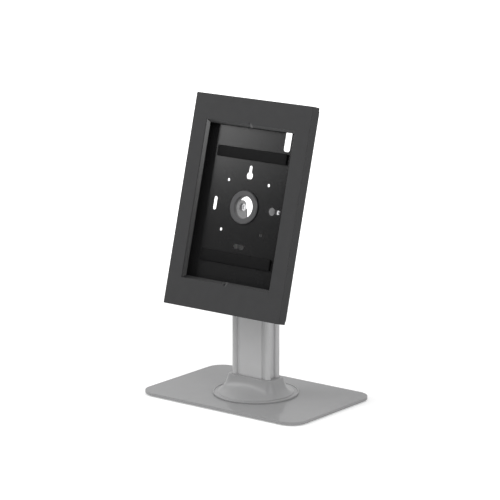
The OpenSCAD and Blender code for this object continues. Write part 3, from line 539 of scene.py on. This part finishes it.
# Screw with a socket: the head's rounded rim, a hexagonal recess and a plain shank with a broken end
def screwShell(place, headD, headLow, headHigh, socket, socketDeep, shankD, shankEnd, e=0.5):
    r, towards = headD / 2, np.sign(headHigh - headLow)
    hexagon = lambda grow: (lambda a: hexagonReach(a, socket) + grow)
    profile = [(hexagon(-0.3), headHigh - towards * socketDeep),
               (hexagon(0), headHigh - towards * (socketDeep - 0.2)),
               (hexagon(0), headHigh - towards * 0.15), (hexagon(0.2), headHigh), (r - e, headHigh),
               (r - 0.3 * e, headHigh - towards * 0.3 * e), (r, headHigh - towards * e),
               (r, headLow + towards * 0.15), (r - 0.15, headLow), (shankD / 2, headLow),
               (shankD / 2, shankEnd + towards * 0.6), (shankD / 2 - 0.6, shankEnd)]
    return turned(profile, place, 60)


finishPiece("lockBarrel", barrelShell(), "tray", made["zincSteel"], ("lock_barrel",))
lockNut = nutShell(lockAxis, lock["nutWide"], lock["nutFront"], lock["nutBack"], lock["nutBoreD"] / 2)
finishPiece("lockNut", lockNut, "tray", made["zincSteel"], ("lock_nut",))
bevelledCopy("lock_plug", "lock", made["zincSteel"])
camOutline = barOutline(-lock["camWide"] / 2, lock["camReach"], lock["camWide"])
lockCam = carriedOutline(camOutline, lock["camFront"], lock["camFront"] + lock["camThick"], 0.3, lockAxis)
finishPiece("lockCam", lockCam, "lock", made["zincSteel"], ("lock_cam",))
camScrew = screwShell(lockAxis, lock["headD"], lock["camFront"], lock["camFront"] - lock["headThick"],
                      lock["socket"], lock["socketDeep"], lock["screwD"],
                      lock["camFront"] + lock["screwLong"])
finishPiece("camScrew", camScrew, "lock", made["zincSteel"], ("cam_screw",))


hub = {"flangeD": 50.5, "flangeFront": 15.35, "flangeBack": 17.85, "chamfer": 1.0, "sleeveD": 44.0,
       "boreD": 34.0, "discFront": 21.45, "washerFront": 20.45, "discBack": 25.45, "plateFront": 18.35,
       "screwRing": 39.0, "screwD": 3.0, "headD": 5.6, "screwLong": 7.0, "coneDeep": 1.3, "socket": 2.0,
       "socketDeep": 0.9, "washerD": 60.0, "washerBoreD": 44.1}


# Ring: flange with its turned chamfer, then the sleeve, and the bore closes the section
def hubShell():
    r, c, bore = hub["flangeD"] / 2, hub["chamfer"], hub["boreD"] / 2
    front = hub["flangeFront"]
    profile = [(bore, front + 0.5), (bore + 0.15, front + 0.15), (bore + 0.5, front), (r - c - 0.1, front),
               (r - c, front + 0.03), (r - 0.05, front + c - 0.05), (r, front + c + 0.1),
               (r, hub["flangeBack"] - 0.2), (r - 0.2, hub["flangeBack"]),
               (hub["sleeveD"] / 2, hub["flangeBack"]), (hub["sleeveD"] / 2, hub["discFront"]),
               (bore, hub["discFront"])]
    return turned(profile, depthAxis(0, 0), 128, closed=True)


# Washer: a flat ring whose outer edges are broken by e
def washerShell(place, outer, inner, low, high, e=0.12):
    profile = [(inner, low), (outer - e, low), (outer, low + e), (outer, high - e), (outer - e, high),
               (inner, high)]
    return turned(profile, place, 96, closed=True)


finishPiece("hubRing", hubShell(), "head", made["hubCoat"], ("hub_ring",), sharpDegrees=30)
hubWashers = [washerShell(depthAxis(0, 0), hub["flangeD"] / 2 - hub["chamfer"], hub["washerBoreD"] / 2,
                          hub["flangeBack"], hub["plateFront"]),
              washerShell(depthAxis(0, 0), hub["washerD"] / 2, hub["washerBoreD"] / 2,
                          hub["washerFront"], hub["discFront"])]
finishPiece("hubWashers", joinShells(hubWashers), "head", made["nylonFinish"], ("hub_washers",))


# Countersunk screw: flat head with a hexagonal recess, a cone, then the shank
def countersunkShell(place, headD, face, coneDeep, shankD, end, socket, socketDeep, inward):
    hexagon = lambda grow: (lambda a: hexagonReach(a, socket) + grow)
    profile = [(hexagon(-0.15), face + inward * socketDeep),
               (hexagon(0), face + inward * (socketDeep - 0.1)),
               (hexagon(0), face + inward * 0.1), (hexagon(0.12), face + inward * 0.02),
               (headD / 2 - 0.1, face + inward * 0.02), (headD / 2, face + inward * 0.15),
               (shankD / 2, face + inward * coneDeep), (shankD / 2, end - inward * 0.4),
               (shankD / 2 - 0.4, end)]
    return turned(profile, place, 48)


hubScrews = []
for t in np.radians(45 + 90 * np.arange(4)):
    screwAxis = depthAxis(hub["screwRing"] / 2 * np.cos(t), hub["screwRing"] / 2 * np.sin(t))
    hubScrews.append(countersunkShell(screwAxis, hub["headD"], hub["discBack"], hub["coneDeep"],
                                      hub["screwD"], hub["discBack"] - hub["screwLong"],
                                      hub["socket"], hub["socketDeep"], -1))
finishPiece("hubScrews", joinShells(hubScrews), "head", made["zincSteel"], ("hub_screws",))
bevelledCopy("swivel_head", "head", made["paleCoat"])
bevelledCopy("stop_stud", "tray", made["zincSteel"])
print("stage: hub and head made")


pivot = {"boltD": 6.0, "headIn": 40.2, "headThick": 3.5, "headD": 11.0, "end": 21.8, "socket": 4.0,
         "socketDeep": 1.75, "nutIn": 22.8, "nutOut": 25.8, "nutWide": 10.0, "nutBoreD": 6.04, "boreD": 6.1,
         "bushD": 10.0, "flangeD": 17.0, "railIn": 25.8, "webOut": 30.0, "lobeOut": 35.6, "washerOut": 36.1}
bore, bushR, flangeR = pivot["boreD"] / 2, pivot["bushD"] / 2, pivot["flangeD"] / 2
bolts, nuts, bushes, tiltWashers = [], [], [], []
for side in (-1, 1):
    axis = pivotAxis(side, head["pivotZ"])
    bolts.append(screwShell(axis, pivot["headD"], pivot["headIn"], pivot["headIn"] + pivot["headThick"],
                            pivot["socket"], pivot["socketDeep"], pivot["boltD"], pivot["end"]))
    nuts.append(nutShell(axis, pivot["nutWide"], pivot["nutIn"], pivot["nutOut"], pivot["nutBoreD"] / 2))
    bushProfile = [(bore, pivot["railIn"]), (bushR, pivot["railIn"]), (bushR, pivot["webOut"]),
                   (flangeR - 0.1, pivot["webOut"]), (flangeR, pivot["webOut"] + 0.1),
                   (flangeR, pivot["lobeOut"] - 0.1), (flangeR - 0.1, pivot["lobeOut"]),
                   (bore, pivot["lobeOut"])]
    bushes.append(turned(bushProfile, axis, 64, closed=True))
    tiltWashers.append(washerShell(axis, flangeR, bore, pivot["lobeOut"], pivot["washerOut"], 0.1))
finishPiece("pivotBolts", joinShells(bolts), "stand", made["zincSteel"], ("pivot_bolts",))
finishPiece("pivotNuts", joinShells(nuts), "stand", made["zincSteel"], ("pivot_nuts",))
finishPiece("pivotBushes", joinShells(bushes), "stand", made["zincSteel"], ("pivot_bushes",))
finishPiece("pivotWashers", joinShells(tiltWashers), "stand", made["nylonFinish"],
            ("pivot_washers",))


# The column's pieces take the lightened coat, whose extra lightness is painted light against the enclosure's
# shade
for node in ("left_rail", "right_rail", "front_panel", "rear_panel", "top_bridge"):
    bevelledCopy(node, "stand", made["columnCoatPaintedLight"])
bridge = {"height": 264.5, "headIn": 30.0, "headThick": 2.4, "headD": 6.6, "headEdge": 0.3, "screwD": 4.0,
          "long": 16.0, "socket": 2.5, "socketDeep": 1.3}
bridgeScrews = [screwShell(pivotAxis(side, bridge["height"]), bridge["headD"], bridge["headIn"],
                           bridge["headIn"] + bridge["headThick"], bridge["socket"], bridge["socketDeep"],
                           bridge["screwD"], bridge["headIn"] - bridge["long"], bridge["headEdge"])
                for side in (-1, 1)]
finishPiece("bridgeScrews", joinShells(bridgeScrews), "stand", made["zincSteel"],
            ("bridge_screws",))
print("stage: column made")


collar = {"low": 6.2, "top": 34.0, "rimD": 130.5, "flangeThick": 1.8, "lipHigh": 2.8, "lipR": 0.9,
          "footD": 116.0, "footEdge": 1.2, "footRound": 0.8, "neckW": 84.0, "neckD": 37.5,
          "neckR": 8.0, "draft": 7.0, "power": 4.5, "wall": 2.2, "gap": 0.4, "edgeR": 0.7,
          "outletW": 12.0, "outletH": 6.0, "skinFrom": 0.03, "skinSpan": 0.955, "columns": 360}
column = {"width": 71.2, "depth": 30.8, "lobeR": 4.9, "webRecess": 5.6, "panelSpan": 26.4}


# Distance from the axis to a rounded rectangle in each direction: where the ray meets an end wall, a
# long wall, or else the circle of the corner. The outline is drawn in by the trim
def neckReach(angles, trimmed):
    r = collar["neckR"] - trimmed
    midX, midY = collar["neckW"] / 2 - collar["neckR"], collar["neckD"] / 2 - collar["neckR"]
    c, s = np.maximum(np.abs(np.cos(angles)), 1e-9), np.maximum(np.abs(np.sin(angles)), 1e-9)
    along = midX * c + midY * s
    cornered = along + np.sqrt(np.maximum(r * r - midX ** 2 - midY ** 2 + along ** 2, 0))
    return np.where((midX + r) * s <= midY * c, (midX + r) / c,
                    np.where((midY + r) * c <= midX * s, (midY + r) / s, cornered))


# The column's outline with a gap all round, anticlockwise from the middle of the right side: web,
# lobe arc, flat, lobe arc, and the same again on the other side
def columnOutline(gap):
    r = column["lobeR"] + gap
    lobeX, lobeY = column["width"] / 2 - column["lobeR"], column["depth"] / 2 - column["lobeR"]
    webX, flatY = column["width"] / 2 - column["webRecess"] + gap, column["panelSpan"] / 2 + gap
    first = -np.arccos((webX - lobeX) / r)
    last = np.pi + np.arcsin(np.clip((lobeY - flatY) / r, -1, 1))
    arc = np.linspace(first, last, 34)
    lobe = np.stack([lobeX + r * np.cos(arc), lobeY + r * np.sin(arc)], axis=1)
    web = np.stack([np.full(5, webX), np.linspace(0, lobe[0, 1], 6)[:-1]], axis=1)
    flat = np.stack([np.linspace(lobe[-1, 0], 0, 10)[1:], np.full(9, flatY)], axis=1)
    quarter = np.concatenate([web, lobe, flat])
    second = (quarter * [-1, 1])[::-1][1:]
    half = np.concatenate([quarter, second])
    return np.concatenate([half, (half * [-1, -1])[1:-1]])


# Outer skin: reach = neck + (foot - neck) * (1 - level) ** power, level running from 0 at the flange
# to 1 at the neck's top, and the neck's outline grows by draft * (1 - level). The foot's edge is a
# curve of the second degree between the wall below it and the skin after it. In the columns over the
# cable outlet the skin begins above the outlet
def collarShell():
    hole = columnOutline(collar["gap"])
    n = len(hole)
    angles = np.unwrap(np.arctan2(hole[:, 1], hole[:, 0]))
    order = np.maximum.accumulate(angles)
    spread = np.linspace(angles[0], angles[0] + 2 * np.pi, n, endpoint=False)
    a = 0.5 * order + 0.5 * spread                     # never folds back and keeps the columns even
    fine = np.linspace(0, n, collar["columns"] + 1)[:-1]
    a = np.interp(fine, np.arange(n + 1), np.append(a, a[0] + 2 * np.pi))
    holeX = np.interp(fine, np.arange(n + 1), np.append(hole[:, 0], hole[0, 0]))
    holeY = np.interp(fine, np.arange(n + 1), np.append(hole[:, 1], hole[0, 1]))

    low, top, wall, e = collar["low"], collar["top"], collar["wall"], collar["edgeR"]
    flangeTop, foot, rim = low + collar["flangeThick"], collar["footD"] / 2, collar["rimD"] / 2
    flareLow = flangeTop + collar["footEdge"]
    lipR, lipTop = collar["lipR"], low + collar["lipHigh"]
    skinFrom, skinSpan = collar["skinFrom"], collar["skinSpan"]
    quarterTurn = np.linspace(0.15, np.pi / 2, 5)

    def flareReach(level, trimmed):
        neck = neckReach(a, trimmed - collar["draft"] * (1 - level))
        return neck + (foot - trimmed - neck) * (1 - level) ** collar["power"]

    def ring(reach, z):
        reach = np.broadcast_to(reach, a.shape)
        return np.stack([reach * np.cos(a), reach * np.sin(a), np.broadcast_to(z, a.shape)], axis=1)

    def holeRow(grow, z):
        size = np.hypot(holeX, holeY)
        return np.stack([holeX * (1 + grow / size), holeY * (1 + grow / size), np.full(a.shape, z)], axis=1)

    outer = [ring(rim - 0.3, low), ring(rim, low + 0.3), ring(rim, lipTop - lipR - 0.3)]
    outer += [ring(rim - lipR + lipR * np.cos(t), lipTop - lipR + lipR * np.sin(t))
              for t in np.linspace(0, np.pi, 11)]
    outer += [ring(rim - 2 * lipR, flangeTop + 0.15), ring(rim - 2 * lipR - 0.15, flangeTop),
              ring(rim - 2 * lipR - 0.5, flangeTop), ring(foot + 0.4, flangeTop), ring(foot, flangeTop + 0.2)]

    def skinRing(level):
        return ring(flareReach(level, 0.0), flareLow + (top - flareLow) * level)

    below, corner = ring(foot, flareLow - collar["footRound"]), ring(foot, flareLow)
    after = skinRing(skinFrom)
    outer += [(1 - t) ** 2 * below + 2 * t * (1 - t) * corner + t * t * after for t in np.linspace(0, 1, 7)]
    outer += [skinRing(skinFrom + skinSpan * t ** 1.4) for t in np.linspace(0.05, 1, 42)]
    neck = neckReach(a, 0.0)
    upper = [ring(neck - e + e * np.cos(t), top - e + e * np.sin(t)) for t in quarterTurn]
    upper += [holeRow(0.35, top), holeRow(0.1, top - 0.1), holeRow(0.0, top - 0.35), holeRow(0.0, top - wall)]
    innerLevels = np.linspace(1.0, 0.0, 30) ** 1.6
    inner = [ring(flareReach(level, wall), low + (top - wall - low) * level) for level in innerLevels]
    rows = np.array(outer + upper + inner)

    # Outlet: in its columns every point below its top is moved to the skin's point at that height
    over = (np.abs(rim * np.cos(a)) <= collar["outletW"] / 2) & (np.sin(a) > 0)
    outletTop = low + collar["outletH"]
    for first, last in ((0, len(outer)), (len(outer) + len(upper), len(rows))):
        part = rows[first:last]
        for k in np.flatnonzero(over):
            profile = part[:, k]
            ordered = profile[np.argsort(profile[:, 2])]
            skin = ordered[ordered[:, 2] > flangeTop + 0.02] if first == 0 else ordered
            meet = [np.interp(outletTop, skin[:, 2], skin[:, axis]) for axis in range(3)]
            profile[profile[:, 2] < outletTop] = meet
    return shellFromRows(rows * 0.001, closed=True)


finishPiece("flaredCollar", collarShell(), "stand", made["collarMoulding"], ("collar",),
            sharpDegrees=50)
print("stage: collar made")


base = {"width": 300.0, "depth": 200.0, "footZ": 2.0, "footD": 22.0, "footInset": 24.0,
        "screwX": 30.7, "screwY": 10.5, "screwHeadD": 9.4, "screwD": 5.0, "screwLong": 25.0,
        "coneDeep": 2.6, "socket": 3.0, "socketDeep": 1.6}
bevelledCopy("base_plate", "stand", made["paleCoat"], segments=3)


# Foot: a low disc with three shallow rings turned into its underside and a rounded rim
def footShell(x, y):
    r, t = base["footD"] / 2, base["footZ"]
    rings = [(0.4, 0.35), (1.6, 0.35), (2.0, 0.0), (4.4, 0.0), (4.8, 0.35), (5.8, 0.35), (6.2, 0.0),
             (8.4, 0.0), (8.8, 0.3), (9.4, 0.3), (9.8, 0.0), (r - 0.6, 0.0), (r - 0.2, 0.15), (r, 0.6),
             (r, t - 0.3), (r - 0.3, t)]
    return turned(rings, uprightAxis(x, y), 64)


feet = [footShell(sx * (base["width"] / 2 - base["footInset"]), sy * (base["depth"] / 2 - base["footInset"]))
        for sx in (-1, 1) for sy in (-1, 1)]
finishPiece("rubberFeet", joinShells(feet), "stand", made["rubberFinish"], ("rubber_feet",))
baseScrews = [countersunkShell(uprightAxis(sx * base["screwX"], sy * base["screwY"]), base["screwHeadD"],
                               base["footZ"], base["coneDeep"], base["screwD"],
                               base["footZ"] + base["screwLong"], base["socket"], base["socketDeep"], 1)
              for sx in (-1, 1) for sy in (-1, 1)]
finishPiece("baseScrews", joinShells(baseScrews), "stand", made["zincSteel"],
            ("base_screws",))
print("stage: base made")


room = {"floorSize": 12.0, "floorColour": 0.80, "nearLift": 0.30, "farLift": 1.0, "liftFrom": 0.25,
        "liftTo": 1.3, "fillLevel": 0.73, "frontLevel": 0.015, "backLevel": 1.0,
        "backdropAlong": (-0.613, 0.790, 0.0), "dimUpTo": -0.15, "paleFrom": 0.45,
        "cameraPlace": (2.3794, -3.0819, 1.1168), "cameraAlong": (-0.59756, 0.77034, -0.22246),
        "cameraUp": (-0.13635, 0.17577, 0.97494), "lensMm": 191.36, "sensorMm": 36.0}
softboxes = {"leftSoftbox": {"place": (-0.95, -0.70, 0.95), "target": (0, 0, 0.30),
                             "width": 0.7, "height": 0.7, "watts": 8.5},
             "rightSoftbox": {"place": (1.05, -0.62, 0.98), "target": (0, 0, 0.28),
                              "width": 0.9, "height": 0.7, "watts": 7.5}}


# The floor is matt and pale. For the camera and in gloss light is added, little near the object and
# more with the distance from it, so that the floor ends in white while the object's shadow stays
def floorMaterial():
    material = bpy.data.materials.new("studioFloor")
    material.use_nodes = True
    nodes, links = material.node_tree.nodes, material.node_tree.links
    nodes.clear()
    matt = nodes.new("ShaderNodeBsdfDiffuse")
    matt.inputs["Color"].default_value = [room["floorColour"]] * 3 + [1]
    glow = nodes.new("ShaderNodeEmission")
    path = nodes.new("ShaderNodeLightPath")
    place = nodes.new("ShaderNodeTexCoord")
    away = nodes.new("ShaderNodeVectorMath")
    away.operation = "LENGTH"
    lift = nodes.new("ShaderNodeMapRange")
    lift.interpolation_type = "SMOOTHSTEP"
    lift.inputs["From Min"].default_value = room["liftFrom"]
    lift.inputs["From Max"].default_value = room["liftTo"]
    lift.inputs["To Min"].default_value = room["nearLift"]
    lift.inputs["To Max"].default_value = room["farLift"]
    links.new(place.outputs["Object"], away.inputs[0])
    links.new(away.outputs["Value"], lift.inputs["Value"])
    scale = nodes.new("ShaderNodeMath")
    scale.operation = "MULTIPLY"
    links.new(lift.outputs["Result"], scale.inputs[1])
    both = nodes.new("ShaderNodeAddShader")
    out = nodes.new("ShaderNodeOutputMaterial")
    seen = nodes.new("ShaderNodeMath")
    seen.operation = "MAXIMUM"
    links.new(path.outputs["Is Camera Ray"], seen.inputs[0])
    links.new(path.outputs["Is Glossy Ray"], seen.inputs[1])
    links.new(seen.outputs["Value"], scale.inputs[0])
    links.new(scale.outputs["Value"], glow.inputs["Strength"])
    links.new(matt.outputs["BSDF"], both.inputs[0])
    links.new(glow.outputs["Emission"], both.inputs[1])
    links.new(both.outputs["Shader"], out.inputs["Surface"])
    return material


# A level square about the object
def studioFloor():
    half = room["floorSize"] / 2
    corners = [(-half, -half, 0), (half, -half, 0), (half, half, 0), (-half, half, 0)]
    mesh = bpy.data.meshes.new("studioFloor")
    mesh.from_pydata(corners, [], [(0, 1, 2, 3)])
    mesh.materials.append(floorMaterial())
    floor = bpy.data.objects.new("studioFloor", mesh)
    bpy.context.scene.collection.objects.link(floor)


# White for what the camera sees, and an even fill for matt surfaces. In gloss the room is dim in
# front and rises to the pale backdrop's level behind: the level follows direction . backdropAlong
def studioWorld():
    world = bpy.data.worlds.new("studioWorld")
    world.use_nodes = True
    nodes, links = world.node_tree.nodes, world.node_tree.links
    nodes.clear()
    seen = nodes.new("ShaderNodeBackground")
    fill = nodes.new("ShaderNodeBackground")
    fill.inputs["Color"].default_value = (1, 1, 1, 1)
    place = nodes.new("ShaderNodeTexCoord")
    behind = nodes.new("ShaderNodeVectorMath")
    behind.operation = "DOT_PRODUCT"
    behind.inputs[1].default_value = room["backdropAlong"]
    level = nodes.new("ShaderNodeMapRange")
    level.inputs["From Min"].default_value = room["dimUpTo"]
    level.inputs["From Max"].default_value = room["paleFrom"]
    level.inputs["To Min"].default_value = room["frontLevel"]
    level.inputs["To Max"].default_value = room["backLevel"]
    links.new(place.outputs["Generated"], behind.inputs[0])
    links.new(behind.outputs["Value"], level.inputs["Value"])
    choose = nodes.new("ShaderNodeMix")
    choose.inputs["A"].default_value = room["fillLevel"]
    links.new(level.outputs["Result"], choose.inputs["B"])
    links.new(choose.outputs["Result"], fill.inputs["Strength"])
    path = nodes.new("ShaderNodeLightPath")
    mix = nodes.new("ShaderNodeMixShader")
    out = nodes.new("ShaderNodeOutputWorld")
    seen.inputs["Color"].default_value = (1, 1, 1, 1)
    links.new(path.outputs["Is Glossy Ray"], choose.inputs["Factor"])
    links.new(path.outputs["Is Camera Ray"], mix.inputs["Fac"])
    links.new(fill.outputs["Background"], mix.inputs[1])
    links.new(seen.outputs["Background"], mix.inputs[2])
    links.new(mix.outputs["Shader"], out.inputs["Surface"])
    bpy.context.scene.world = world


# A lamp that stands at its place and faces its target
def softLamp(name, look):
    data = bpy.data.lights.new(name, "AREA")
    data.shape = "RECTANGLE"
    data.size = look["width"]
    data.size_y = look["height"]
    data.energy = look["watts"]
    lamp = bpy.data.objects.new(name, data)
    bpy.context.scene.collection.objects.link(lamp)
    aim = (Vector(look["target"]) - Vector(look["place"])).to_track_quat("-Z", "Y")
    lamp.matrix_world = Matrix.Translation(look["place"]) @ aim.to_matrix().to_4x4()
    lamp.visible_camera = False


# The camera looks along its direction: right is that direction crossed with up, and up is then set
# square to both
def photoCamera():
    data = bpy.data.cameras.new("photoCamera")
    data.lens = room["lensMm"]
    data.sensor_width = room["sensorMm"]
    data.sensor_fit = "HORIZONTAL"
    data.clip_end = 100
    along, up = Vector(room["cameraAlong"]).normalized(), Vector(room["cameraUp"])
    right = along.cross(up).normalized()
    up = right.cross(along)
    turn = Matrix((right, up, -along)).transposed()
    camera = bpy.data.objects.new("photoCamera", data)
    camera.matrix_world = Matrix.Translation(room["cameraPlace"]) @ turn.to_4x4()
    bpy.context.scene.collection.objects.link(camera)
    bpy.context.scene.camera = camera


studioFloor()
studioWorld()
photoCamera()
for name, look in softboxes.items():
    softLamp(name, look)
bpy.context.scene.view_settings.view_transform = "Standard"
print("stage: room made")

bpy.context.view_layer.update()
